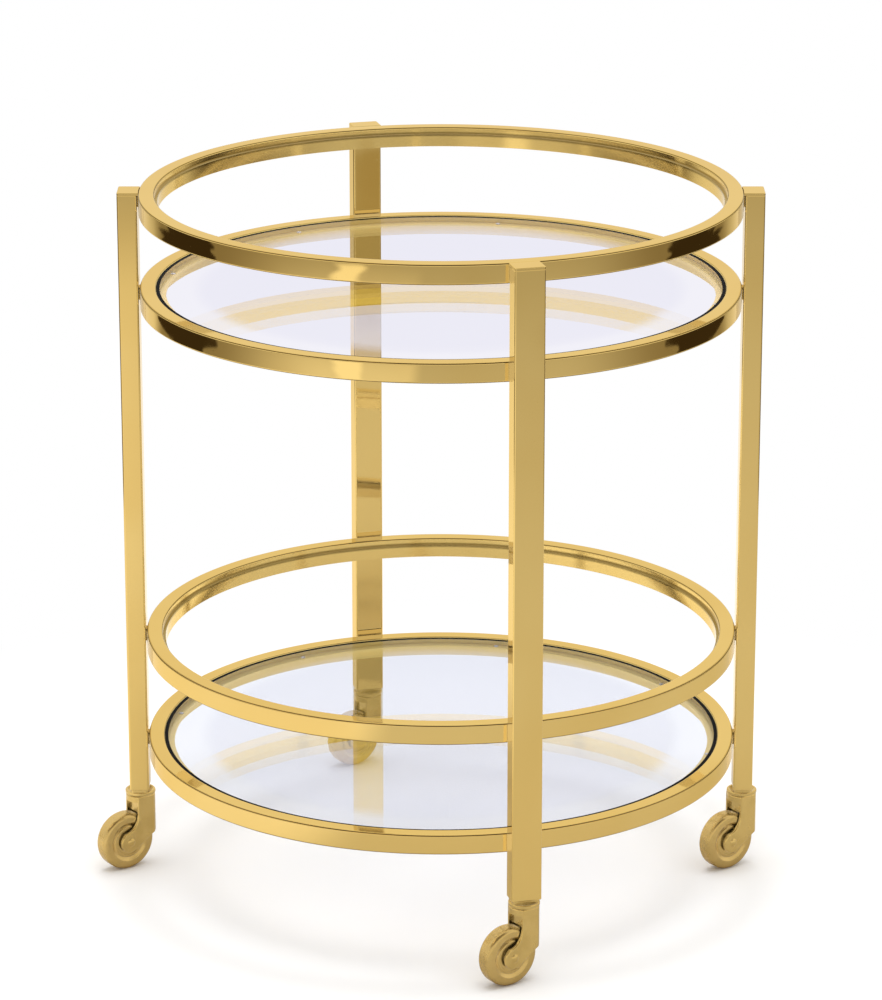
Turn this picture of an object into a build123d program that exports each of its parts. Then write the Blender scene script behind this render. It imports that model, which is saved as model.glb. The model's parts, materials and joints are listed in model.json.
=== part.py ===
from build123d import *
import os
from math import cos, radians, sin, sqrt

# Round two-tier bar cart on four swivel casters. Millimetres, +Z up.
# The origin is on the floor under the common axis of the rings.
# The wide gaps between the legs face the front (-Y) and the back (+Y).

# Overall sizes
RING_RADIUS = 300.0
TOP_RAIL_HEIGHT = 717.0
UPPER_TRAY_DEPTH = 95.0
LOWER_SHELF_HEIGHT = 149.0
LOWER_TRAY_DEPTH = 113.0

# Rings, bent from one stepped hollow section
RING_FACE = 16.0
RING_DEPTH = 20.0
RING_STEP_WIDTH = 3.0
RING_STEP_DROP = 7.0
RING_WALL = 1.5
RING_EDGE = 1.5

# Glass shelves, each on a ledge with clear pads
LEDGE_WIDTH = 7.0
LEDGE_THICKNESS = 3.0
PAD_COUNT = 8
PAD_DIAMETER = 5.0
PAD_THICKNESS = 1.0
PAD_START_AZIMUTH = 25.0
GLASS_THICKNESS = 5.0
GLASS_SIDE_GAP = 0.5
GLASS_EDGE = 0.6

# Legs of flat rectangular tube
LEG_AZIMUTH = 37.5
LEG_WIDTH = 30.0
LEG_DEPTH = 20.0
LEG_WALL = 1.5
LEG_CORNER = 2.0
LEG_SEAM = 0.3
FOOT_EDGE = 1.0
CAP_THICKNESS = 3.0
CAP_EDGE = 0.8
SOCKET_HEIGHT = 25.0

# Weld pads between the legs and the rings
WELD_THICKNESS = 1.0
WELD_SIZE = 14.0

# Casters
CASTER_HEADING = 253.0
CASTER_TRAIL = 20.0
WHEEL_DIAMETER = 60.0
WHEEL_WIDTH = 18.0
TREAD_SHOULDER = 5.0
TREAD_FACE_RADIUS = 21.0
TREAD_BEAD = 1.8
TREAD_GROOVE = 1.0
HUB_RADIUS = 17.0
HUB_RIM_WIDTH = 16.4
HUB_RIM_RADIUS = 14.0
HUB_RIM_EDGE = 0.9
HUB_WEB_WIDTH = 15.4
HUB_BOSS_RADIUS = 7.5
BUSH_WALL = 1.5
AXLE_DIAMETER = 6.0
AXLE_HEAD_DIAMETER = 9.0
AXLE_HEAD_HEIGHT = 1.6
WHEEL_SIDE_GAP = 1.0
WHEEL_ROUND_GAP = 1.2
BOSS_SIDE_GAP = 0.3
FORK_DIAMETER = 30.0
FORK_ROOF = 13.8
FORK_LIP = 6.5
FORK_SKIRT_DROP = 10.0
FORK_EDGE = 1.5
CHEEK_THICKNESS = 3.0
CHEEK_BOSS_RADIUS = 11.0
CHEEK_FRONT = 10.5
CHEEK_SWEEP_RADIUS = 18.0
PIVOT_SLEEVE_WALL = 3.5
STEM_DIAMETER = 8.0
STEM_HEAD_DIAMETER = 12.0
STEM_HEAD_HEIGHT = 2.5
STEM_GRIP = 22.0
COLLAR_DIAMETER = 31.0
COLLAR_HEIGHT = 4.0
COLLAR_RIM = 2.5
COLLAR_DISH = 2.0
COLLAR_FLOOR_DIAMETER = 16.0
COLLAR_EDGE = 1.2
PLUG_MARGIN = 1.5
PLUG_HEIGHT = 2.9
RUNNING_CLEARANCE = 0.05
THRUST_GAP = 0.3

# Each guard rail stands one tray depth above its shelf
UPPER_SHELF_HEIGHT = TOP_RAIL_HEIGHT - UPPER_TRAY_DEPTH
LOWER_RAIL_HEIGHT = LOWER_SHELF_HEIGHT + LOWER_TRAY_DEPTH

# Radii worked out from the ring and the leg
RING_INNER_RADIUS = RING_RADIUS - RING_FACE
STEP_INNER_RADIUS = RING_INNER_RADIUS - RING_STEP_WIDTH
LEDGE_INNER_RADIUS = STEP_INNER_RADIUS - LEDGE_WIDTH
GLASS_RADIUS = STEP_INNER_RADIUS - GLASS_SIDE_GAP
PAD_CIRCLE_RADIUS = STEP_INNER_RADIUS - LEDGE_WIDTH / 2
LEG_INNER_FACE = RING_RADIUS + WELD_THICKNESS
LEG_OUTER_FACE = LEG_INNER_FACE + LEG_DEPTH
LEG_AXIS_RADIUS = LEG_INNER_FACE + LEG_DEPTH / 2

# Caster heights, stacked up from the floor
WHEEL_RADIUS = WHEEL_DIAMETER / 2
AXLE_HEIGHT = WHEEL_RADIUS
POCKET_RADIUS = WHEEL_RADIUS + WHEEL_ROUND_GAP
STEM_HEAD_BOTTOM = AXLE_HEIGHT + POCKET_RADIUS
PIVOT_SEAT = STEM_HEAD_BOTTOM + STEM_HEAD_HEIGHT + THRUST_GAP
FORK_TOP = PIVOT_SEAT + FORK_ROOF
COLLAR_BOTTOM = FORK_TOP + THRUST_GAP
COLLAR_TOP = COLLAR_BOTTOM + COLLAR_HEIGHT
LEG_BOTTOM = COLLAR_TOP + PLUG_HEIGHT

# Caster half widths along the axle, and the lowest edge of the fork's round back
SLOT_HALF = WHEEL_WIDTH / 2 + WHEEL_SIDE_GAP
CHEEK_HALF = SLOT_HALF + CHEEK_THICKNESS
BOSS_HALF = SLOT_HALF - BOSS_SIDE_GAP
FORK_RADIUS = FORK_DIAMETER / 2
SKIRT_BOTTOM = AXLE_HEIGHT + FORK_SKIRT_DROP
BORE_RADIUS = AXLE_DIAMETER / 2 + RUNNING_CLEARANCE
BUSH_RADIUS = BORE_RADIUS + BUSH_WALL

# The cheek's leading edge: straight down from the slot, then a hollow sweep onto the boss
SWEEP_CENTRE_X = CHEEK_FRONT + CHEEK_SWEEP_RADIUS
SWEEP_REACH = CHEEK_BOSS_RADIUS + CHEEK_SWEEP_RADIUS
SWEEP_CENTRE_Z = AXLE_HEIGHT + sqrt(SWEEP_REACH**2 - (SWEEP_CENTRE_X - CASTER_TRAIL) ** 2)

CORNERS = {
    "back_right": LEG_AZIMUTH,
    "back_left": 180.0 - LEG_AZIMUTH,
    "front_left": 180.0 + LEG_AZIMUTH,
    "front_right": 360.0 - LEG_AZIMUTH,
}

os.makedirs("parts", exist_ok=True)


def save(builder, name):
    """Label a finished piece and write its STEP file."""
    builder.part.label = name
    export_step(builder.part, f"parts/{name}.step")


def flat_plane(azimuth, radius, height):
    """A level plane at a corner, with its X axis pointing away from the rings' axis."""
    outward = (cos(radians(azimuth)), sin(radians(azimuth)), 0.0)
    origin = (radius * outward[0], radius * outward[1], height)
    return Plane(origin=origin, x_dir=outward, z_dir=(0, 0, 1))


def caster_planes(azimuth):
    """The caster's level plane, its upright plane through the trail, and the axle's upright plane."""
    trail = Vector(cos(radians(CASTER_HEADING)), sin(radians(CASTER_HEADING)), 0)
    across = Vector(-trail.Y, trail.X, 0)
    stem = flat_plane(azimuth, LEG_AXIS_RADIUS, 0.0).origin
    axle = stem + trail * CASTER_TRAIL + Vector(0, 0, AXLE_HEIGHT)
    level = Plane(origin=stem, x_dir=trail, z_dir=(0, 0, 1))
    upright = Plane(origin=stem, x_dir=trail, z_dir=-across)
    through_axle = Plane(origin=axle, x_dir=across, z_dir=trail)
    return level, upright, through_axle


def ring(name, top):
    """One ring: a stepped hollow section turned about the common axis."""
    bottom = top - RING_DEPTH
    step = top - RING_STEP_DROP
    with BuildPart() as band:
        with BuildSketch(Plane.XZ) as section:
            with BuildLine():
                Polyline(
                    (RING_RADIUS, bottom),
                    (RING_RADIUS, top),
                    (RING_INNER_RADIUS, top),
                    (RING_INNER_RADIUS, step),
                    (STEP_INNER_RADIUS, step),
                    (STEP_INNER_RADIUS, bottom),
                    close=True,
                )
            make_face()
            offset(amount=-RING_WALL, kind=Kind.INTERSECTION, mode=Mode.SUBTRACT)
            rims = section.vertices().group_by(Axis.X)[-1]
            lip = section.vertices().filter_by_position(Axis.X, RING_INNER_RADIUS, RING_INNER_RADIUS)
            fillet(rims + lip.sort_by(Axis.Y)[-1:], radius=RING_EDGE)
        revolve(axis=Axis.Z)
    save(band, name)


def shelf(name, ring_top):
    """A shelf's ledge inside its ring, the clear pads on it and the round glass."""
    ledge_top = ring_top - RING_STEP_DROP
    with BuildPart() as ledge:
        with BuildSketch(Plane.XY.offset(ledge_top - LEDGE_THICKNESS)):
            Circle(STEP_INNER_RADIUS)
            Circle(LEDGE_INNER_RADIUS, mode=Mode.SUBTRACT)
        extrude(amount=LEDGE_THICKNESS)
    save(ledge, f"{name}_ledge")

    with BuildPart() as pads:
        with BuildSketch(Plane.XY.offset(ledge_top)):
            with PolarLocations(PAD_CIRCLE_RADIUS, PAD_COUNT, start_angle=PAD_START_AZIMUTH):
                Circle(PAD_DIAMETER / 2)
        extrude(amount=PAD_THICKNESS)
    save(pads, f"{name}_pads")

    with BuildPart() as glass:
        with BuildSketch(Plane.XY.offset(ledge_top + PAD_THICKNESS)):
            Circle(GLASS_RADIUS)
        extrude(amount=GLASS_THICKNESS)
        chamfer(glass.edges().filter_by(GeomType.CIRCLE), length=GLASS_EDGE)
    save(glass, f"{name}_glass")


def weld_pads(name, ring_top):
    """Four weld pads that fill the gap between one ring's curve and the flat legs."""
    middle = ring_top - RING_DEPTH / 2
    with BuildPart() as pads:
        for azimuth in CORNERS.values():
            base = flat_plane(azimuth, 0.0, middle - WELD_SIZE / 2)
            with BuildSketch(base):
                with Locations((LEG_INNER_FACE, 0)):
                    Rectangle(2 * WELD_THICKNESS, WELD_SIZE, align=(Align.MAX, Align.CENTER))
                Circle(RING_RADIUS, mode=Mode.SUBTRACT)
            extrude(amount=WELD_SIZE)
    save(pads, name)


def leg(corner, azimuth):
    """A tube leg, the cap that carries its top over to the rail, and the stem socket in its foot."""
    tube_top = TOP_RAIL_HEIGHT - CAP_THICKNESS
    inner_width = LEG_WIDTH - 2 * LEG_WALL
    inner_depth = LEG_DEPTH - 2 * LEG_WALL
    inner_corner = LEG_CORNER / 2
    foot = flat_plane(azimuth, LEG_AXIS_RADIUS, LEG_BOTTOM)

    with BuildPart() as tube:
        with BuildSketch(foot):
            RectangleRounded(LEG_DEPTH, LEG_WIDTH, LEG_CORNER)
            RectangleRounded(inner_depth, inner_width, inner_corner, mode=Mode.SUBTRACT)
        extrude(amount=tube_top - LEG_BOTTOM)
        ends = tube.faces().filter_by(Axis.Z).sort_by(Axis.Z)
        chamfer(ends[-1].outer_wire().edges(), length=LEG_SEAM)
        fillet(ends[0].outer_wire().edges(), radius=FOOT_EDGE)
    save(tube, f"leg_{corner}")

    with BuildPart() as cap:
        with BuildSketch(flat_plane(azimuth, 0.0, tube_top)) as outline:
            with Locations((LEG_OUTER_FACE, 0)):
                Rectangle(LEG_DEPTH + 2 * WELD_THICKNESS, LEG_WIDTH, align=(Align.MAX, Align.CENTER))
            Circle(RING_RADIUS, mode=Mode.SUBTRACT)
            fillet(outline.vertices().sort_by_distance((LEG_OUTER_FACE, 0))[:2], radius=LEG_CORNER)
        extrude(amount=CAP_THICKNESS)
        on_axis = (0, 0, tube_top)
        fillet(cap.edges().group_by(Axis.Z)[-1].sort_by_distance(on_axis)[1:], radius=CAP_EDGE)
        chamfer(cap.edges().group_by(Axis.Z)[0].sort_by_distance(on_axis)[1:], length=LEG_SEAM)
    save(cap, f"leg_cap_{corner}")

    with BuildPart() as socket:
        with BuildSketch(foot):
            RectangleRounded(inner_depth, inner_width, inner_corner)
            Circle(STEM_DIAMETER / 2, mode=Mode.SUBTRACT)
        extrude(amount=SOCKET_HEIGHT)
    save(socket, f"stem_socket_{corner}")


def swivel(corner, azimuth):
    """The stem that the caster turns on, and the dished collar with its plug under the leg."""
    level, upright, _ = caster_planes(azimuth)
    turning = Axis(level.origin, level.z_dir)

    with BuildPart() as stem:
        with BuildSketch(level.offset(STEM_HEAD_BOTTOM)):
            Circle(STEM_HEAD_DIAMETER / 2)
        extrude(amount=STEM_HEAD_HEIGHT)
        with BuildSketch(level.offset(STEM_HEAD_BOTTOM)):
            Circle(STEM_DIAMETER / 2)
        extrude(amount=LEG_BOTTOM + STEM_GRIP - STEM_HEAD_BOTTOM)
        chamfer(stem.edges().sort_by(Axis.Z)[-1], length=STEM_DIAMETER / 8)
    save(stem, f"caster_stem_{corner}")

    rim_radius = COLLAR_DIAMETER / 2
    with BuildPart() as collar:
        with BuildSketch(upright) as section:
            with BuildLine():
                Polyline(
                    (STEM_DIAMETER / 2, COLLAR_BOTTOM),
                    (rim_radius, COLLAR_BOTTOM),
                    (rim_radius, COLLAR_TOP),
                    (rim_radius - COLLAR_RIM, COLLAR_TOP),
                    (COLLAR_FLOOR_DIAMETER / 2, COLLAR_TOP - COLLAR_DISH),
                    (STEM_DIAMETER / 2, COLLAR_TOP - COLLAR_DISH),
                    close=True,
                )
            make_face()
            fillet(section.vertices().group_by(Axis.X)[-1], radius=COLLAR_EDGE)
        revolve(axis=turning)
        with BuildSketch(flat_plane(azimuth, LEG_AXIS_RADIUS, COLLAR_TOP - COLLAR_DISH)):
            RectangleRounded(LEG_DEPTH - 2 * PLUG_MARGIN, LEG_WIDTH - 2 * PLUG_MARGIN, LEG_CORNER)
            Circle(STEM_DIAMETER / 2, mode=Mode.SUBTRACT)
        extrude(amount=COLLAR_DISH + PLUG_HEIGHT)
    save(collar, f"caster_collar_{corner}")


def cheek_outline(upright):
    """The comma of a fork cheek: the straight back, the hollow sweep and the axle boss."""
    with BuildSketch(upright) as comma:
        with BuildLine():
            Polyline(
                (-FORK_RADIUS, SKIRT_BOTTOM),
                (-FORK_RADIUS, SWEEP_CENTRE_Z),
                (CHEEK_FRONT, SWEEP_CENTRE_Z),
            )
            CenterArc((CASTER_TRAIL, AXLE_HEIGHT), CHEEK_BOSS_RADIUS, 0, 360)
        make_hull()
        with Locations((SWEEP_CENTRE_X, SWEEP_CENTRE_Z)):
            Circle(CHEEK_SWEEP_RADIUS, mode=Mode.SUBTRACT)
        with Locations((-FORK_RADIUS, SWEEP_CENTRE_Z)):
            low_corner = (Align.MIN, Align.MIN)
            Rectangle(FORK_RADIUS + CHEEK_FRONT, FORK_TOP - SWEEP_CENTRE_Z, align=low_corner)
    return comma.sketch


def fork(corner, azimuth):
    """The caster fork: flat cheeks with a round back and a lipped roof, swept down to the axle bosses."""
    level, upright, _ = caster_planes(azimuth)
    across = Axis(level.origin, level.y_dir)
    with BuildPart() as hood:
        extrude(cheek_outline(upright), amount=CHEEK_HALF, both=True)
        with BuildSketch(level):
            Circle(FORK_RADIUS)
            Rectangle(2 * POCKET_RADIUS, 2 * CHEEK_HALF, align=(Align.MIN, Align.CENTER))
        extrude(amount=FORK_TOP, mode=Mode.INTERSECT)
        with BuildSketch(level.offset(FORK_TOP - FORK_LIP)):
            Circle(FORK_RADIUS)
            Rectangle(FORK_DIAMETER, 2 * CHEEK_HALF, mode=Mode.INTERSECT)
        extrude(amount=FORK_LIP)
        rims = hood.faces().filter_by(across).edges() + hood.faces().sort_by(Axis.Z)[-1].edges()
        fillet(rims, radius=FORK_EDGE)

        with BuildSketch(upright):
            with Locations((CASTER_TRAIL, AXLE_HEIGHT)):
                Circle(POCKET_RADIUS)
            with Locations((STEM_DIAMETER / 2 + PIVOT_SLEEVE_WALL, AXLE_HEIGHT)):
                recess_height = FORK_TOP - FORK_LIP - AXLE_HEIGHT
                Rectangle(FORK_DIAMETER, recess_height, align=(Align.MIN, Align.MIN))
        extrude(amount=SLOT_HALF, both=True, mode=Mode.SUBTRACT)

        with BuildSketch(level.offset(AXLE_HEIGHT)):
            Circle(STEM_HEAD_DIAMETER / 2 + THRUST_GAP)
        extrude(amount=PIVOT_SEAT - AXLE_HEIGHT, mode=Mode.SUBTRACT)
        with BuildSketch(level.offset(AXLE_HEIGHT)):
            Circle(STEM_DIAMETER / 2 + RUNNING_CLEARANCE)
        extrude(amount=FORK_TOP - AXLE_HEIGHT, mode=Mode.SUBTRACT)
        with BuildSketch(upright):
            with Locations((CASTER_TRAIL, AXLE_HEIGHT)):
                Circle(AXLE_DIAMETER / 2)
        extrude(amount=CHEEK_HALF, both=True, mode=Mode.SUBTRACT)
    save(hood, f"caster_fork_{corner}")


def wheel(corner, azimuth):
    """The riveted axle, the bush that runs on it, the dished hub and the tread."""
    _, _, through_axle = caster_planes(azimuth)
    rolling = Axis(through_axle.origin, through_axle.x_dir)
    axle_radius = AXLE_DIAMETER / 2

    with BuildPart() as axle:
        with BuildSketch(through_axle):
            with BuildLine():
                crown = (CHEEK_HALF + AXLE_HEAD_HEIGHT, 0)
                rim = (CHEEK_HALF, AXLE_HEAD_DIAMETER / 2)
                Line((0, 0), crown)
                TangentArc(crown, rim, tangent=(0, 1))
                Polyline(rim, (CHEEK_HALF, axle_radius), (0, axle_radius))
                mirror(about=Plane.YZ)
            make_face()
        revolve(axis=rolling)
    save(axle, f"wheel_axle_{corner}")

    with BuildPart() as bush:
        with BuildSketch(through_axle):
            with Locations((0, BORE_RADIUS)):
                Rectangle(2 * BOSS_HALF, BUSH_WALL, align=(Align.CENTER, Align.MIN))
        revolve(axis=rolling)
    save(bush, f"wheel_bush_{corner}")

    with BuildPart() as hub:
        with BuildSketch(through_axle) as section:
            with BuildLine():
                Polyline(
                    (0, BUSH_RADIUS),
                    (BOSS_HALF, BUSH_RADIUS),
                    (BOSS_HALF, HUB_BOSS_RADIUS),
                    (HUB_WEB_WIDTH / 2, HUB_BOSS_RADIUS),
                    (HUB_WEB_WIDTH / 2, HUB_RIM_RADIUS),
                    (HUB_RIM_WIDTH / 2, HUB_RIM_RADIUS),
                    (HUB_RIM_WIDTH / 2, HUB_RADIUS),
                    (0, HUB_RADIUS),
                )
                mirror(about=Plane.YZ)
            make_face()
            columns = section.vertices().group_by(Axis.X)
            chamfer([columns[1].sort_by(Axis.Y)[-1], columns[-2].sort_by(Axis.Y)[-1]], length=HUB_RIM_EDGE)
        revolve(axis=rolling)
    save(hub, f"wheel_hub_{corner}")

    with BuildPart() as tread:
        with BuildSketch(through_axle) as section:
            with BuildLine():
                seat = HUB_RIM_WIDTH / 2 - HUB_RIM_EDGE
                Polyline(
                    (0, HUB_RADIUS),
                    (seat, HUB_RADIUS),
                    (seat, HUB_RADIUS + TREAD_GROOVE),
                    (WHEEL_WIDTH / 2, TREAD_FACE_RADIUS),
                    (WHEEL_WIDTH / 2, WHEEL_RADIUS),
                    (0, WHEEL_RADIUS),
                )
                mirror(about=Plane.YZ)
            make_face()
            for end, rounding in ((-1, TREAD_SHOULDER), (0, TREAD_BEAD)):
                columns = section.vertices().group_by(Axis.X)
                fillet([columns[0].sort_by(Axis.Y)[end], columns[-1].sort_by(Axis.Y)[end]], radius=rounding)
        revolve(axis=rolling)
    save(tread, f"wheel_tread_{corner}")


RINGS = {
    "top_rail": TOP_RAIL_HEIGHT,
    "upper_shelf": UPPER_SHELF_HEIGHT,
    "lower_rail": LOWER_RAIL_HEIGHT,
    "lower_shelf": LOWER_SHELF_HEIGHT,
}

for ring_name, ring_top in RINGS.items():
    ring(f"{ring_name}_ring", ring_top)
    weld_pads(f"{ring_name}_weld_pads", ring_top)

shelf("upper_shelf", UPPER_SHELF_HEIGHT)
shelf("lower_shelf", LOWER_SHELF_HEIGHT)

for corner_name, corner_azimuth in CORNERS.items():
    leg(corner_name, corner_azimuth)
    swivel(corner_name, corner_azimuth)
    fork(corner_name, corner_azimuth)
    wheel(corner_name, corner_azimuth)
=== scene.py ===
import json
import math

import bmesh
import bpy
from bpy.props import FloatProperty, FloatVectorProperty, IntProperty, PointerProperty
from mathutils import Matrix, Vector


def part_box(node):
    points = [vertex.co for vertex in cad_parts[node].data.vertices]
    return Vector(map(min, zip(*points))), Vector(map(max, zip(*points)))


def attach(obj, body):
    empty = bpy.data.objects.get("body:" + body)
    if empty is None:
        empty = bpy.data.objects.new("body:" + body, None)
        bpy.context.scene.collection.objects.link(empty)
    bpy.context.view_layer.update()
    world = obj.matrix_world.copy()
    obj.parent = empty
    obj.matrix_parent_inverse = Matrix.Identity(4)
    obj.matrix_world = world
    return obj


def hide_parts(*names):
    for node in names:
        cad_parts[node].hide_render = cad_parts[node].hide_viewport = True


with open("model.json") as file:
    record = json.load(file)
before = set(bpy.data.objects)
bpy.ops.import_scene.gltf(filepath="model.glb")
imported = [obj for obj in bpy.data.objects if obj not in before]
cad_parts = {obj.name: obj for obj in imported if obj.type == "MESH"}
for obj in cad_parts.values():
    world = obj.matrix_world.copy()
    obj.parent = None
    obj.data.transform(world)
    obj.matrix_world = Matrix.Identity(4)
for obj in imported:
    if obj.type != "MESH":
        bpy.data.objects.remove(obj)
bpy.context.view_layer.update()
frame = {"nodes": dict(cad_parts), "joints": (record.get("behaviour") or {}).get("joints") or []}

bl_info = {
    "name": "Round Bar Cart",
    "version": (1, 0, 0),
    "blender": (4, 5, 0),
    "location": "3D View > Sidebar > Bar Cart",
    "description": "Finishes a round two-tier bar cart on casters around its packed frame",
    "category": "Object",
}

NODES = frame["nodes"]
JOINTS = {joint["name"]: joint for joint in frame["joints"]}
RINGS = ("top_rail", "upper_shelf", "lower_rail", "lower_shelf")
SHELVES = ("upper_shelf", "lower_shelf")
CORNERS = ("back_right", "back_left", "front_left", "front_right")

RING_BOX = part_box("top_rail_ring")
GLASS_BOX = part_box("upper_shelf_glass")
TREAD_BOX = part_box("wheel_tread_front_right")
PAD_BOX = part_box("upper_shelf_pads")
MM = 0.001
WHITE = (1.0, 1.0, 1.0)

# Mesh making
SHARP_ANGLE = math.radians(32)
ON_AXIS = 1e-9
ARC_STEPS = 6
SMALL_ARC_STEPS = 5
GAP_SHADE_STRIP_ARC_STEPS = 3
WELD_LOOPS = (0.0, 0.25, 0.5, 0.75, 1.0)
WHEEL_SEGMENTS = 96
PAD_SEGMENTS = 32
FLOOR_GRID = 8

# Camera film, in millimetres
SENSOR_WIDTH = 36.0

# Plate: slow coordinates along a ring and a leg, waves left by rolling, and what each mark adds to roughness
SLOW_ROUND = 0.004
SLOW_ALONG = 0.012
RING_WAVE = 0.22 * MM
FLAT_WAVE = 0.06 * MM
HAIRLINE_DEPTH = 0.001 * MM
SMUDGE_DULL = 0.03
HAIRLINE_DULL = 0.02
SPECK_DULL = 0.08

# Inside walls of rails and of shelf seats: how much duller, how far satin, and what metal a satin wall loses.
# The satin share also paints the walls a lighter colour, which is painted light.
RAIL_DULL, RAIL_SATIN = 0.07, 0.15
SEAT_DULL, SEAT_SATIN = 0.35, 1.0
SATIN_BODY = 0.6

# Painted dark lines along a ring, for dark reflections on its edges and shade in its step: soft steps as
# distances from its edges and from its step
LINE_RISE = (0.10 * MM, 0.35 * MM)
LINE_FALL = (0.75 * MM, 1.05 * MM)
LINE_DEPTH = (1.2 * MM, 1.6 * MM)
WALL_FADE = 1 * MM
STEP_FADE = (0.8 * MM, 3.0 * MM)
STEP_STRENGTH = 0.9

# Lacquer on casters and wheels
LACQUER_COAT = 0.5
LACQUER_ROUGHNESS = 0.06
RUB_DULL = 0.10
PEBBLE_DULL = 0.06
PEBBLE_DEPTH = 0.012 * MM
CLOUD_DEPTH = 0.03 * MM
RUNNING_EDGE = (1.6 * MM, 0.2 * MM)
SCUFF_SHARE = 0.45
SCUFF_TINT = 0.7
SCUFF_DULL = 0.30
SCUFF_BARE = 0.5
TURNED_DULL = 0.10
TURNED_DEPTH = 0.004 * MM
PEEL_DEPTH = 0.006 * MM

# Small fittings: roughness and clearness with what their grain adds, and the depth of the grain
VINYL_ROUGHNESS, VINYL_CLOUD = 0.25, 0.2
VINYL_ALPHA, VINYL_MILK = 0.45, 0.15
ZINC_ROUGHNESS, ZINC_TURNED = 0.28, 0.14
ZINC_SLOW = 0.1
ZINC_PALE = 1.15
ZINC_DEPTH = 0.01 * MM
MOULD_GRAIN = 0.2
MOULD_PALE = 1.3
MOULD_DEPTH = 0.02 * MM

# Glass: its sheen straight on and at a low angle, and how wipe marks and the rim weaken it
SHEEN_STRAIGHT = 0.04
SHEEN_LOW = 0.72
SHEEN_CURVE = 2.5
WIPE_LOSS = 0.06
RIM_LOSS = 0.8
RIM_BAND = (50 * MM, 28 * MM)
SHADOW_CLEAR = 0.96

# Height over which a leg that is mirrored in glass changes its tone, beside a tray
TRAY_FADE = 30 * MM

# Studio floor as polished metal mirrors it: turns from the camera's side, distances from the axis, tones
PAPER = (0.96, 0.96, 0.96)
SHADOW_REACH = (0.42, 0.85)
RAGGED_TURN = 1.4
RAGGED_REACH = 4.0
RAGGED_WIDTH = 0.9
BRIGHT_EDGE = (-0.50, -0.25)
BRIGHT_GAIN = 1.45
DUSK = (0.90, 0.88, 0.84)
DUSK_FADE = 1.0
SHADE = (0.48, 0.43, 0.34)
SHADE_START = math.radians(40)
SHADE_FADE = 0.2
REAR = (0.92, 0.92, 0.92)
REAR_RISE = (0.1, 0.4)
PATCH = (0.70, 0.61, 0.40)
PATCH_TURN = (math.radians(29.5), math.radians(30.5)), (math.radians(35), math.radians(37))
PATCH_REACH = (1.45, 1.6), (2.7, 2.8)
FLAG_DARK = (0.045, 0.032, 0.018)
FLAG_EDGE = 0.04
FLAG_FADE = 0.2
FAR_EDGE = (7.0, 8.0)
SECOND_MIRROR = (1.4, 1.6)
SECOND_TONE = (0.95, 0.95, 0.95)
STRIP_TURN = (math.radians(-40), math.radians(-36)), (math.radians(-30), math.radians(-27))
STRIP_REACH = (1.6, 1.7), (3.1, 3.2)
STRIP_RAGGED = 0.3
STRIP_STRENGTH = 1.25

# Studio walls as polished metal mirrors them: a dim room behind the camera and a small lamp to one side. The
# room's limits are parts of a direction, up and ahead, and the lamp's are angles.
ROOM = (0.22, 0.19, 0.15)
ROOM_HEIGHT = (0.44, 0.50), (0.90, 0.94)
ROOM_AHEAD = (0.45, 0.65)
LAMP_ASIDE = math.radians(35)
LAMP_HEIGHT = 0.9
LAMP_OUTER, LAMP_INNER = 0.16, 0.11
LAMP_STRENGTH = 8.0


def length(name, default, description):
    """A size that a user may change, in metres."""
    return FloatProperty(
        name=name, description=description, default=default, min=0.0, precision=5, unit="LENGTH"
    )


def angle(name, degrees, description):
    """An angle that a user may change."""
    return FloatProperty(name=name, description=description, default=math.radians(degrees), subtype="ANGLE")


def colour(name, default, description):
    """A linear colour that a user may change."""
    return FloatVectorProperty(
        name=name, description=description, default=default, size=3, min=0.0, max=1.0, subtype="COLOR"
    )


def share(name, default, description):
    """A number from 0 to 1 that a user may change."""
    return FloatProperty(
        name=name, description=description, default=default, min=0.0, max=1.0, subtype="FACTOR"
    )


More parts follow.
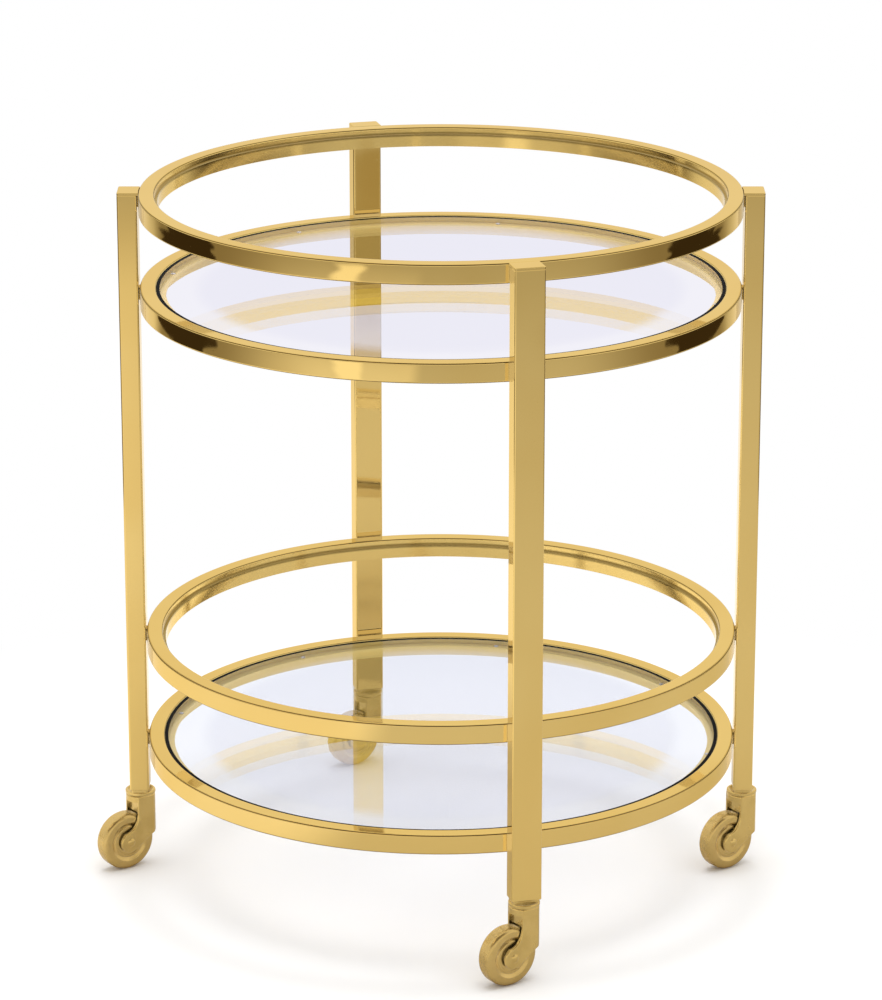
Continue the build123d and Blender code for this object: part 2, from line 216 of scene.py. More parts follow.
class CartSizes(bpy.types.PropertyGroup):
    """Sizes of the turned pieces."""

    ring_radius: length("Ring radius", RING_BOX[1].x, "Outer radius of the four rings")
    ring_depth: length("Ring depth", RING_BOX[1].z - RING_BOX[0].z, "Height of a ring's outer face")
    ring_face: length("Ring face", 16 * MM, "Width of a ring's top face")
    ring_step_width: length("Step width", 3 * MM, "Width of the step inside a ring")
    ring_step_drop: length("Step drop", 7 * MM, "Depth of the step below a ring's top")
    ring_step_edge: length("Step edge", 0.3 * MM, "Rounding of the step's own edges")
    ring_edge: length("Ring edge", 1.9 * MM, "Rounding of a ring's edges")
    ring_segments: IntProperty(name="Ring segments", description="Steps round a ring", default=288, min=48)
    glass_radius: length("Glass radius", GLASS_BOX[1].x, "Radius of a glass shelf")
    glass_thickness: length("Glass thickness", GLASS_BOX[1].z - GLASS_BOX[0].z, "Thickness of a glass shelf")
    glass_edge: length("Glass edge", 0.7 * MM, "Rounding of a glass shelf's polished edge")
    # The black strip round each glass shelf is painted shade for the dark gap between glass and ring.
    seal_drop: length("Seal drop", 1.1 * MM, "Depth of the black seal below a ring's top")
    seal_thickness: length("Seal thickness", 0.5 * MM, "Height of the black seal round a glass shelf")
    seal_edge: length("Seal edge", 0.15 * MM, "Rounding of the black seal's top edges")
    pad_circle: length("Pad circle", 277.5 * MM, "Radius of the circle that the clear pads stand on")
    pad_diameter: length("Pad diameter", 5 * MM, "Diameter of a clear pad")
    pad_thickness: length("Pad thickness", PAD_BOX[1].z - PAD_BOX[0].z, "Height of a clear pad")
    pad_taper: share("Pad taper", 0.88, "Radius of a clear pad's ends as a share of its middle")
    pad_edge: length("Pad edge", 0.3 * MM, "Rounding of a clear pad's bulging side")
    pad_count: IntProperty(name="Pads", description="Clear pads under each glass", default=8, min=3)
    pad_start: angle("First pad", 25, "Azimuth of the first pad")
    weld_size: length("Weld size", 14 * MM, "Side of a weld spot")
    weld_corner: length("Weld corner", 2.5 * MM, "Rounding of a weld spot's corners")
    weld_waist: share("Weld waist", 0.09, "Share by which a weld is drawn in at half its depth")
    weld_thickness: length("Weld thickness", 1 * MM, "Gap that a weld fills at the middle of a leg")
    wheel_radius: length("Wheel radius", (TREAD_BOX[1].z - TREAD_BOX[0].z) / 2, "Outer radius of a wheel")
    wheel_width: length("Wheel width", 18 * MM, "Width of a tyre")
    tyre_shoulder: length("Tyre shoulder", 5 * MM, "Rounding between a tyre's face and its rolling surface")
    tyre_face_radius: length("Tyre face", 21 * MM, "Inner radius of a tyre's flat face")
    tyre_bead: length("Tyre bead", 1.8 * MM, "Rounding of a tyre's inner bead")
    tyre_groove: length("Tyre groove", 1 * MM, "Width of the groove between tyre and hub")
    hub_radius: length("Hub radius", 17 * MM, "Radius where hub and tyre meet")
    hub_rim_radius: length("Hub rim", 14 * MM, "Inner radius of the hub's rim")
    hub_rim_width: length("Hub rim width", 16.4 * MM, "Width of the hub across its rim")
    hub_rim_edge: length("Hub rim edge", 0.9 * MM, "Rounding of the hub's rim beside the tyre")
    hub_rim_lip: length("Hub rim lip", 0.25 * MM, "Rounding of the hub's rim on its inner side")
    hub_rim_fillet: length("Hub rim fillet", 0.2 * MM, "Rounding where web and rim meet")
    hub_web_width: length("Hub web", 15.4 * MM, "Thickness of the hub's dished web")
    hub_boss_radius: length("Hub boss", 7.5 * MM, "Radius of the hub's boss")
    hub_boss_width: length("Hub boss width", 19.4 * MM, "Width of the hub across its bosses")
    hub_boss_edge: length("Hub boss edge", 0.5 * MM, "Rounding of a boss's outer edge")
    hub_boss_fillet: length("Hub boss fillet", 0.6 * MM, "Rounding where web and boss meet")
    hub_bore: length("Hub bore", 4.55 * MM, "Radius of the bore that the bush sits in")


class CartFinishes(bpy.types.PropertyGroup):
    """Colours and gloss of the finishes."""

    plate_light: colour("Gold plate, light", (0.81, 0.570, 0.195), "Polished plate on rings and legs")
    plate_deep: colour("Gold plate, deep", (0.775, 0.530, 0.168), "Where the plate is a little thicker")
    plate_edge: colour("Gold plate, low angle", (0.95, 0.85, 0.62), "Tint of the plate seen at a low angle")
    plate_again: colour("Gold plate, mirrored", (0.74, 0.71, 0.64), "Plate as other plate mirrors it")
    ring_in_glass: colour("Rings, in glass", (1.0, 0.69, 0.10), "Plate of the rings as the glass mirrors it")
    leg_in_glass: colour("Legs, in glass", (0.46, 0.31, 0.07), "Plate of the legs as the glass mirrors it")
    # Lighter colour for satin inside walls and ledges: painted light over a real satin finish
    plate_seat: colour("Gold plate, satin", (1.0, 0.76, 0.26), "Plate that the buffing wheel didn't reach")
    plate_gloss: share("Gold plate roughness", 0.03, "Roughness of freshly wiped plate")
    # Dark lines painted along the ring edges stand for dark reflections; the line in the step's corner is
    # painted shade.
    plate_line: colour("Gold plate, edge line", (0.16, 0.095, 0.020), "Polish left along a ring's edges")
    caster_light: colour("Caster gold, light", (0.70, 0.480, 0.148), "Lacquered brass of forks and collars")
    caster_deep: colour("Caster gold, deep", (0.63, 0.425, 0.124), "Lacquered brass in the hollows")
    caster_gloss: share("Caster roughness", 0.22, "Roughness of the lacquered castings")
    wheel_light: colour("Wheel gold, light", (0.67, 0.455, 0.146), "Gold lacquer on hubs and tyres")
    wheel_deep: colour("Wheel gold, deep", (0.61, 0.410, 0.124), "Gold lacquer where it lies thin")
    wheel_scuff: colour("Wheel scuff", (0.50, 0.35, 0.14), "Rolled-in dirt on the running surface")
    wheel_gloss: share("Wheel roughness", 0.26, "Roughness of the lacquered wheels")
    glass_tint: colour("Glass tint", (0.95, 0.945, 0.975), "What one face of the glass lets through")
    glass_sheen: colour("Glass reflection", (0.815, 0.81, 0.91), "Tint of reflections in the glass")
    # The lower glass is darkened by painted shade, standing for the shade under the upper shelf.
    glass_shade: colour("Lower glass shade", (0.943, 0.961, 0.963), "Tint that makes the lower glass darker")
    pad_clear: colour("Clear pad", (0.88, 0.88, 0.92), "Soft clear vinyl")
    steel: colour("Pivot steel", (0.58, 0.57, 0.54), "Zinc plated steel")
    # Black of the strip in the gap round the glass: painted shade.
    seal_black: colour("Seal rubber", (0.006, 0.006, 0.006), "Black rubber strip round the glass")
    socket_black: colour("Socket plastic", (0.025, 0.025, 0.027), "Moulded black nylon")
    bush_cream: colour("Bush plastic", (0.70, 0.68, 0.62), "Moulded pale acetal")


class CartStage(bpy.types.PropertyGroup):
    """The studio around the cart."""

    view_azimuth: angle("View azimuth", 37.5, "Turn of the camera round the cart")
    camera_distance: length("Camera distance", 4.244, "Level distance from the rings' axis to the camera")
    camera_height: length("Camera height", 1.727, "Height of the camera over the floor")
    aim_height: length("Aim height", 0.3945, "Height on the rings' axis that the camera looks at")
    lens: FloatProperty(name="Lens", description="Focal length", default=158.0, min=1.0, unit="CAMERA")
    floor_size: length("Floor size", 24.0, "Side of the studio floor")
    paper_reach: length("Paper reach", 2.3, "Distance from the axis at which the lit paper starts to darken")
    floor_tone: share("Floor tone", 0.61, "How bright the white paper shows in the polished metal")
    flag_distance: length("Flag distance", 1.5, "Distance of the dark flags from the cart's axis")
    flag_front: angle("Flag front", 91, "Turn from the camera to a flag's near edge")
    flag_rear: angle("Flag rear", 125, "Turn from the camera to a flag's far edge")
    fill: share("Fill", 0.8, "Strength of the even light from all round")
    softbox_power: FloatProperty(
        name="Softbox", description="Power of the softbox over the cart", default=70.0, min=0.0, unit="POWER"
    )
    softbox_size: length("Softbox size", 2.4, "Side of the softbox")
    softbox_height: length("Softbox height", 3.2, "Height of the softbox over the floor")


class Wire:
    """A shader socket that takes part in Python arithmetic."""

    def __init__(self, tree, socket):
        self.tree = tree
        self.socket = socket

    def __add__(self, other):
        return self.tree.maths("ADD", self, other)

    def __sub__(self, other):
        return self.tree.maths("SUBTRACT", self, other)

    def __rsub__(self, other):
        return self.tree.maths("SUBTRACT", other, self)

    def __mul__(self, other):
        return self.tree.maths("MULTIPLY", self, other)

    def __truediv__(self, other):
        return self.tree.maths("DIVIDE", self, other)

    def __rtruediv__(self, other):
        return self.tree.maths("DIVIDE", other, self)

    def __abs__(self):
        return self.tree.maths("ABSOLUTE", self)

    def __pow__(self, other):
        return self.tree.maths("POWER", self, other)

    def __rpow__(self, other):
        return self.tree.maths("POWER", other, self)

    __radd__ = __add__
    __rmul__ = __mul__


class Tree:
    """The shader nodes of one material or of the world."""

    def __init__(self, owner):
        owner.use_nodes = True
        self.nodes = owner.node_tree.nodes
        self.links = owner.node_tree.links
        self.nodes.clear()

    def node(self, kind, settings=(), sockets=(), out=0):
        """Add a node, apply its settings, then fill or link its sockets. Gives one of its outputs."""
        made = self.nodes.new("ShaderNode" + kind)
        for key, value in dict(settings).items():
            setattr(made, key, value)
        for key, value in dict(sockets).items():
            socket = made.inputs[key]
            if isinstance(value, Wire):
                self.links.new(value.socket, socket)
            elif socket.type == "RGBA" and len(value) == 3:
                socket.default_value = (*value, 1.0)
            else:
                socket.default_value = value
        return Wire(self, made.outputs[out]) if made.outputs else None

    def maths(self, operation, *values):
        """A Math node on values."""
        return self.node("Math", {"operation": operation}, enumerate(values))

    def smooth(self, value, low, high):
        """0 below low, 1 above high, with a soft step between them."""
        settings = {"interpolation_type": "SMOOTHSTEP"}
        return self.node("MapRange", settings, {"Value": value, "From Min": low, "From Max": high})

    def band(self, value, rise, fall):
        """1 between two soft steps and 0 outside them. Each step is a start and an end."""
        return self.smooth(value, *rise) * (1.0 - self.smooth(value, *fall))

    def blend(self, factor, first, second):
        """A colour between two colours."""
        return self.node("Mix", {"data_type": "RGBA"}, {0: factor, 6: first, 7: second}, out=2)

    def place(self):
        """Where the point is in its object's own frame, in metres: at rest on the cart, or on a wheel."""
        return self.node("TexCoord", out="Object")

    def ray(self, name):
        """What is known of the light ray, such as Is Glossy Ray."""
        return self.node("LightPath", out=name)

    def parts(self, vector):
        """The three numbers of a vector."""
        split = self.node("SeparateXYZ", (), {0: vector}).socket.node
        return [Wire(self, socket) for socket in split.outputs]

    def vector(self, x, y, z):
        """A vector from three numbers."""
        return self.node("CombineXYZ", (), {0: x, 1: y, 2: z})

    def radius(self, x, y):
        """How far a point is from the axis."""
        return self.maths("SQRT", x * x + y * y)

    def noise(self, vector, scale, detail=2.0, roughness=0.5):
        """Soft noise from 0 to 1."""
        sockets = {"Vector": vector, "Scale": scale, "Detail": detail, "Roughness": roughness}
        return self.node("TexNoise", (), sockets)

    def patches(self, vector, scale, low, high, detail=2.0, roughness=0.5):
        """Soft-edged patches: 1 where the noise is over high, 0 where it is under low."""
        return self.smooth(self.noise(vector, scale, detail, roughness), low, high)

    def bump(self, height, distance, over=None):
        """A normal bent by a height from 0 to 1 that is this distance deep."""
        sockets = {"Strength": 1.0, "Distance": distance, "Height": height}
        if over is not None:
            sockets["Normal"] = over
        return self.node("Bump", (), sockets)

    def principled(self, sockets):
        """A Principled BSDF."""
        return self.node("BsdfPrincipled", (), sockets)

    def choose(self, factor, first, second):
        """A Mix Shader between two shaders."""
        return self.node("MixShader", (), {0: factor, 1: first, 2: second})

    def surface(self, shader):
        """Show this shader."""
        self.node("OutputMaterial", (), {"Surface": shader})


def times(tint, factor):
    """A colour made lighter or darker, no brighter than white."""
    return tuple(min(1.0, c * factor) for c in tint)


def filtered(tint, shade):
    """A colour seen through a shade."""
    return tuple(c * s for c, s in zip(tint, shade))


def finish(name, build):
    """The material of that name, built once."""
    made = bpy.data.materials.get(name)
    if made is None:
        made = bpy.data.materials.new(name)
        build(Tree(made), bpy.context.scene.cart_finishes)
    return made


def around_axis(tree):
    """Coordinates that run across, up and round a ring: fine across, slow round."""
    x, y, z = tree.parts(tree.place())
    turn = tree.maths("ARCTAN2", y, x)
    return tree.vector(tree.radius(x, y), z, turn * SLOW_ROUND)


def up_the_tube(tree):
    """Coordinates that are fine across a leg and slow along it."""
    x, y, z = tree.parts(tree.place())
    return tree.vector(x, y, z * SLOW_ALONG)


def nearest(tree, height, levels):
    """How far a height is from the nearest of several levels."""
    depth = abs(levels[0] - height)
    for level in levels[1:]:
        depth = tree.maths("MINIMUM", depth, abs(level - height))
    return depth


def painted_edge_lines(tree, levels):
    """1 in a thin line along the ring edges that lie at one of these heights, 0 elsewhere: painted dark
    reflection.
    """
    sizes = bpy.context.scene.cart_sizes
    x, y, z = tree.parts(tree.place())
    half = sizes.ring_face / 2
    inset = half - abs(tree.radius(x, y) - (sizes.ring_radius - half))
    return tree.band(inset, LINE_RISE, LINE_FALL) * (1.0 - tree.smooth(nearest(tree, z, levels), *LINE_DEPTH))


def inside_ring(tree):
    """1 on the walls inside a ring, 0 on its top and outer faces."""
    sizes = bpy.context.scene.cart_sizes
    x, y, _ = tree.parts(tree.place())
    wall = sizes.ring_radius - sizes.ring_face
    return 1.0 - tree.smooth(tree.radius(x, y), wall, wall + WALL_FADE)


def painted_step_shade(tree, levels):
    """1 along the corner of the step inside a ring, fading up and down the wall from these heights: painted
    shade.
    """
    depth = nearest(tree, tree.parts(tree.place())[2], levels)
    return inside_ring(tree) * (1.0 - tree.smooth(depth, *STEP_FADE))


def ring_in_glass(tree, finishes):
    """The rings as a pane mirrors them."""
    return finishes.ring_in_glass


def leg_in_glass(tree, finishes):
    """The legs as a pane mirrors them: pale between the trays, deep beside them."""
    height = tree.parts(tree.place())[2]
    low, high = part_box("lower_rail_ring")[1].z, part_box("upper_shelf_ring")[0].z
    between = tree.band(height, (low, low + TRAY_FADE), (high - TRAY_FADE, high))
    return tree.blend(between, finishes.leg_in_glass, finishes.ring_in_glass)


def gilded(tree, finishes, gold, sockets, in_glass=None):
    """A gold surface that doesn't deepen to orange where gold mirrors it. Glass may mirror another gold."""
    shown = tree.principled({"Base Color": gold, **sockets})
    in_gold = tree.principled({"Base Color": finishes.plate_again, **sockets})
    in_pane = shown if in_glass is None else tree.principled({"Base Color": in_glass, **sockets})
    mirrored = tree.choose(tree.ray("Is Singular Ray"), in_gold, in_pane)
    tree.surface(tree.choose(tree.ray("Is Glossy Ray"), shown, mirrored))


def polished_plate(run, wave, in_glass=None, edges=(), steps=(), dull=0.0, satin=0.0):
    """Electroplated tube, buffed along its length and wiped by hand.

    Rings have fine dark lines along the edges and steps at the heights given: painted dark reflections on the
    edges and painted shade at the steps. Their inside walls, which the wheel reaches less well, are duller by
    the amount given, and satin by the share given. The satin share also paints them a lighter colour, which
    is painted light.
    """

    def build(tree, finishes):
        place = tree.place()
        thick = tree.patches(place, scale=6.0, low=0.35, high=0.65)
        smudge = tree.patches(place, scale=22.0, low=0.52, high=0.78, detail=4.0, roughness=0.6)
        hairline = tree.noise(run(tree), scale=2600.0, detail=3.0, roughness=0.7)
        speck = tree.patches(place, scale=420.0, low=0.74, high=0.80, detail=1.0)
        rough = finishes.plate_gloss + smudge * SMUDGE_DULL + (hairline - 0.5) * HAIRLINE_DULL
        rough = rough + speck * SPECK_DULL
        metallic = 1.0
        wavy = tree.bump(tree.noise(place, scale=16.0, detail=1.0), wave)
        gold = tree.blend(thick, finishes.plate_light, finishes.plate_deep)
        # Painted dark reflection along the ring edges, and painted shade in the step's corner
        if edges:
            gold = tree.blend(painted_edge_lines(tree, edges), gold, finishes.plate_line)
        if steps:
            gold = tree.blend(painted_step_shade(tree, steps) * STEP_STRENGTH, gold, finishes.plate_line)
        # Inside walls: duller and less metallic, a satin finish, and painted a lighter colour that is painted
        # light
        if dull:
            inside = inside_ring(tree)
            gold = tree.blend(inside * satin, gold, finishes.plate_seat)
            rough = rough + inside * dull
            metallic = 1.0 - inside * (satin * SATIN_BODY)
        sockets = {
            "Metallic": metallic,
            "Roughness": rough,
            "Normal": tree.bump(hairline, HAIRLINE_DEPTH, over=wavy),
            "Specular Tint": finishes.plate_edge,
        }
        gilded(tree, finishes, gold, sockets, in_glass and in_glass(tree, finishes))

    return build


def lacquered_casting(tree, finishes):
    """Die-cast brass under clear lacquer, a little uneven."""
    place = tree.place()
    cloud = tree.patches(place, scale=55.0, low=0.38, high=0.66, detail=3.0)
    pebble = tree.noise(place, scale=900.0)
    rub = tree.patches(place, scale=160.0, low=0.55, high=0.75, detail=4.0, roughness=0.65)
    sockets = {
        "Metallic": 1.0,
        "Roughness": finishes.caster_gloss + rub * RUB_DULL + (pebble - 0.5) * PEBBLE_DULL,
        "Normal": tree.bump(cloud, CLOUD_DEPTH, over=tree.bump(pebble, PEBBLE_DEPTH)),
        "Specular Tint": finishes.plate_edge,
        "Coat Weight": LACQUER_COAT,
        "Coat Roughness": LACQUER_ROUGHNESS,
    }
    gilded(tree, finishes, tree.blend(cloud, finishes.caster_light, finishes.caster_deep), sockets)


def wheel_lacquer(tree, finishes):
    """Gold lacquer on a moulded wheel, scuffed where it rolls. Its axle is the local Z axis."""
    place = tree.place()
    x, y, _ = tree.parts(place)
    radius = tree.radius(x, y)
    rolling = bpy.context.scene.cart_sizes.wheel_radius
    running = tree.smooth(radius, *(rolling - inset for inset in RUNNING_EDGE))
    scuff = running * tree.patches(place, scale=150.0, low=0.45, high=0.75, detail=3.0) * SCUFF_SHARE
    cloud = tree.patches(place, scale=60.0, low=0.36, high=0.66, detail=3.0)
    peel = tree.noise(place, scale=700.0)
    turned = tree.noise(tree.vector(radius, 0.0, 0.0), scale=1500.0)
    lacquer = tree.blend(cloud, finishes.wheel_light, finishes.wheel_deep)
    sockets = {
        "Metallic": 1.0 - scuff * SCUFF_BARE,
        "Roughness": finishes.wheel_gloss + scuff * SCUFF_DULL + (turned - 0.5) * TURNED_DULL,
        "Normal": tree.bump(peel, PEEL_DEPTH, over=tree.bump(turned, TURNED_DEPTH)),
        "Specular Tint": finishes.plate_edge,
        "Coat Weight": LACQUER_COAT - scuff * SCUFF_BARE,
        "Coat Roughness": LACQUER_ROUGHNESS,
    }
    gilded(tree, finishes, tree.blend(scuff * SCUFF_TINT, lacquer, finishes.wheel_scuff), sockets)


def clear_glass(shade):
    """Float glass with a mirror-like sheen at low angles and faint wipe marks, seen through a shade.

    The sheen is weak near the rim, so that the gold seat under it shows. Lamps and reflections pass through.
    The shade that darkens the lower pane is painted shade.
    """

    def build(tree, finishes):
        place = tree.place()
        wipe = tree.patches(place, scale=9.0, low=0.50, high=0.80, detail=5.0, roughness=0.6)
        see_through = tree.node("BsdfTransparent", (), {"Color": filtered(finishes.glass_tint, shade)})
        tint = filtered(finishes.glass_sheen, shade)
        sheen = tree.node("BsdfGlossy", (), {"Color": tint, "Roughness": 0.0})
        facing = tree.node("LayerWeight", (), {"Blend": 0.5}, out="Facing")
        x, y, _ = tree.parts(place)
        edge = bpy.context.scene.cart_sizes.glass_radius
        rim = tree.smooth(tree.radius(x, y), *(edge - inset for inset in RIM_BAND))
        mirror = SHEEN_STRAIGHT + SHEEN_LOW * facing**SHEEN_CURVE
        mirror = mirror * (1.0 - wipe * WIPE_LOSS) * (1.0 - rim * RIM_LOSS)
        pane = tree.choose(mirror, see_through, sheen)
        for ray, clear in (("Is Shadow Ray", times(WHITE, SHADOW_CLEAR)), ("Is Glossy Ray", WHITE)):
            pane = tree.choose(tree.ray(ray), pane, tree.node("BsdfTransparent", (), {"Color": clear}))
        tree.surface(pane)

    return build


def clear_vinyl(tree, finishes):
    """Soft clear bumper, slightly cloudy."""
    cloud = tree.noise(tree.place(), scale=600.0)
    sockets = {
        "Base Color": finishes.pad_clear,
        "Roughness": VINYL_ROUGHNESS + cloud * VINYL_CLOUD,
        "Alpha": VINYL_ALPHA + cloud * VINYL_MILK,
        "Normal": tree.bump(cloud, MOULD_DEPTH),
    }
    tree.surface(tree.principled(sockets))


def zinc_steel(tree, finishes):
    """Zinc plated steel, turned."""
    x, y, z = tree.parts(tree.place())
    turned = tree.noise(tree.vector(x * ZINC_SLOW, y * ZINC_SLOW, z), scale=2400.0)
    spangle = tree.patches(tree.place(), scale=300.0, low=0.35, high=0.7)
    sockets = {
        "Base Color": tree.blend(spangle, finishes.steel, times(finishes.steel, ZINC_PALE)),
        "Metallic": 1.0,
        "Roughness": ZINC_ROUGHNESS + turned * ZINC_TURNED,
        "Normal": tree.bump(turned, ZINC_DEPTH),
    }
    tree.surface(tree.principled(sockets))


def moulded(tone, shine=0.5, rough=0.42):
    """Moulded plastic or rubber with a fine spark-eroded grain."""

    def build(tree, finishes):
        base = getattr(finishes, tone)
        grain = tree.noise(tree.place(), scale=1800.0, detail=3.0)
        cloud = tree.noise(tree.place(), scale=90.0)
        sockets = {
            "Base Color": tree.blend(cloud, base, times(base, MOULD_PALE)),
            "Roughness": rough + grain * MOULD_GRAIN,
            "Specular IOR Level": shine,
            "Normal": tree.bump(grain, MOULD_DEPTH),
        }
        tree.surface(tree.principled(sockets))

    return build


def coat(node, material):
    """Give a CAD node its finish."""
    NODES[node].data.materials.clear()
    NODES[node].data.materials.append(material)


def rounded(corners, closed, steps=ARC_STEPS):
    """Outline points from corners (radius, height, rounding), with an arc in place of each rounded corner."""
    count = len(corners)
    points = []
    for i, (r, z, rounding) in enumerate(corners):
        here = Vector((r, z))
        if rounding <= 0.0 or (not closed and i in (0, count - 1)):
            points.append(here)
            continue
        back = (Vector(corners[i - 1][:2]) - here).normalized()
        ahead = (Vector(corners[(i + 1) % count][:2]) - here).normalized()
        half = back.angle(ahead) / 2
        centre = here + (back + ahead).normalized() * (rounding / math.sin(half))
        start = here + back * (rounding / math.tan(half)) - centre
        end = here + ahead * (rounding / math.tan(half)) - centre
        sweep = start.angle_signed(end)
        for k in range(steps + 1):
            points.append(centre + Matrix.Rotation(-sweep * k / steps, 2) @ start)
    return points


def skin(shape, low, high):
    """Faces between two loops of points. A point on the axis, which stands for a whole loop, is used once."""
    for k in range(len(low)):
        n = (k + 1) % len(low)
        shape.faces.new(list(dict.fromkeys((low[k], low[n], high[n], high[k]))))


def turned_mesh(name, outline, segments, closed):
    """A mesh turned about the local Z axis from outline points (radius, height)."""
    shape = bmesh.new()
    turns = [math.tau * k / segments for k in range(segments)]
    loops = []
    for r, z in outline:
        if r < ON_AXIS:
            loops.append([shape.verts.new((0.0, 0.0, z))] * segments)
        else:
            loops.append([shape.verts.new((r * math.cos(a), r * math.sin(a), z)) for a in turns])
    for low, high in zip(loops, loops[1:] + loops[:1] if closed else loops[1:]):
        skin(shape, low, high)
    return settled(name, shape)


def settled(name, shape):
    """Turn a bmesh into a mesh with outward faces, smooth apart from its sharp edges."""
    bmesh.ops.recalc_face_normals(shape, faces=shape.faces)
    mesh = bpy.data.meshes.new(name)
    shape.to_mesh(mesh)
    shape.free()
    mesh.shade_smooth()
    mesh.set_sharp_from_angle(angle=SHARP_ANGLE)
    return mesh


def piece(name, mesh, material, body, slot, *nodes, at=None):
    """Show a mesh as a piece that rides on a body and stands for CAD nodes."""
    mesh.materials.clear()
    mesh.materials.append(material)
    made = bpy.data.objects.new(name, mesh)
    bpy.context.scene.collection.objects.link(made)
    if at is not None:
        made.matrix_world = at
    flats = made.modifiers.new("Flat faces", "WEIGHTED_NORMAL")
    flats.keep_sharp = True
    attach(made, body)
    if nodes:
        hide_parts(*nodes)


def repeated(name, mesh, places):
    """One mesh from copies of another at several places."""
    shape = bmesh.new()
    for place in places:
        start = len(shape.verts)
        shape.from_mesh(mesh)
        shape.verts.ensure_lookup_table()
        bmesh.ops.transform(shape, matrix=place, verts=shape.verts[start:])
    return settled(name, shape)


class CART_OT_rings(bpy.types.Operator):
    """Turn the four rings from their stepped section and polish them"""

    bl_idname = "cart.rings"
    bl_label = "Rings"

    def execute(self, context):
        sizes = context.scene.cart_sizes
        inner = sizes.ring_radius - sizes.ring_face
        step = inner - sizes.ring_step_width
        edge = sizes.ring_edge
        for ring in RINGS:
            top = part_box(f"{ring}_ring")[1].z
            bottom = top - sizes.ring_depth
            step_top = top - sizes.ring_step_drop
            # Inside walls are satin, with a lighter colour that is painted light
            if ring in SHELVES:
                walls = {"dull": SEAT_DULL, "satin": SEAT_SATIN}
            else:
                walls = {"dull": RAIL_DULL, "satin": RAIL_SATIN, "steps": (step_top,)}
            # Painted dark reflections along the top and bottom edges, and on rails painted shade at the step
            build = polished_plate(around_axis, RING_WAVE, ring_in_glass, edges=(top, bottom), **walls)
            plate = finish(f"polished_plate_{ring}", build)
            corners = [
                (sizes.ring_radius, bottom, edge),
                (sizes.ring_radius, top, edge),
                (inner, top, edge),
                (inner, step_top, 0.0),
                (step, step_top, sizes.ring_step_edge),
                (step, bottom, sizes.ring_step_edge),
            ]
            mesh = turned_mesh(f"{ring}_band", rounded(corners, True), sizes.ring_segments, True)
            piece(f"{ring}_band", mesh, plate, "frame", "gold_plate", f"{ring}_ring")
        return {"FINISHED"}


class CART_OT_legs(bpy.types.Operator):
    """Polish the tube legs and their caps"""

    bl_idname = "cart.legs"
    bl_label = "Legs and caps"

    def execute(self, context):
        plate = finish("polished_plate_straight", polished_plate(up_the_tube, FLAT_WAVE, leg_in_glass))
        for corner in CORNERS:
            coat(f"leg_{corner}", plate)
            coat(f"leg_cap_{corner}", plate)
        return {"FINISHED"}


class CART_OT_welds(bpy.types.Operator):
    """Fill the gaps between legs and rings with drawn-in weld spots"""

    bl_idname = "cart.welds"
    bl_label = "Welds"

    def execute(self, context):
        sizes = context.scene.cart_sizes
        plate = finish("polished_plate_plain", polished_plate(around_axis, FLAT_WAVE))
        for ring in RINGS:
            low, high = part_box(f"{ring}_weld_pads")
            middle = (low.z + high.z) / 2
            shape = bmesh.new()
            for corner in CORNERS:
                leg_low, leg_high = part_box(f"leg_{corner}")
                centre = (leg_low + leg_high) / 2
                self.spot(shape, sizes, math.atan2(centre.y, centre.x), middle)
            mesh = settled(f"{ring}_welds", shape)
            piece(f"{ring}_welds", mesh, plate, "frame", "gold_plate", f"{ring}_weld_pads")
        return {"FINISHED"}

    def spot(self, shape, sizes, azimuth, middle):
        """One weld: a rounded square, drawn in at half its depth, from the ring's curve to the leg's flat."""
        half = sizes.weld_size / 2
        outward = Vector((math.cos(azimuth), math.sin(azimuth), 0.0))
        across = Vector((-outward.y, outward.x, 0.0))
        square = ((half, half), (-half, half), (-half, -half), (half, -half))
        outline = rounded([(y, z, sizes.weld_corner) for y, z in square], True, SMALL_ARC_STEPS)
        loops = []
        for depth in WELD_LOOPS:
            draw = 1.0 - sizes.weld_waist * math.sin(math.pi * depth)
            loop = []
            for point in outline:
                y, z = point.x * draw, point.y * draw
                curve = math.sqrt(sizes.ring_radius**2 - y * y)
                x = curve + (sizes.ring_radius + sizes.weld_thickness - curve) * depth
                loop.append(shape.verts.new(outward * x + across * y + Vector((0.0, 0.0, middle + z))))
            loops.append(loop)
        for low, high in zip(loops, loops[1:]):
            skin(shape, low, high)
        shape.faces.new(loops[0])
        shape.faces.new(loops[-1])


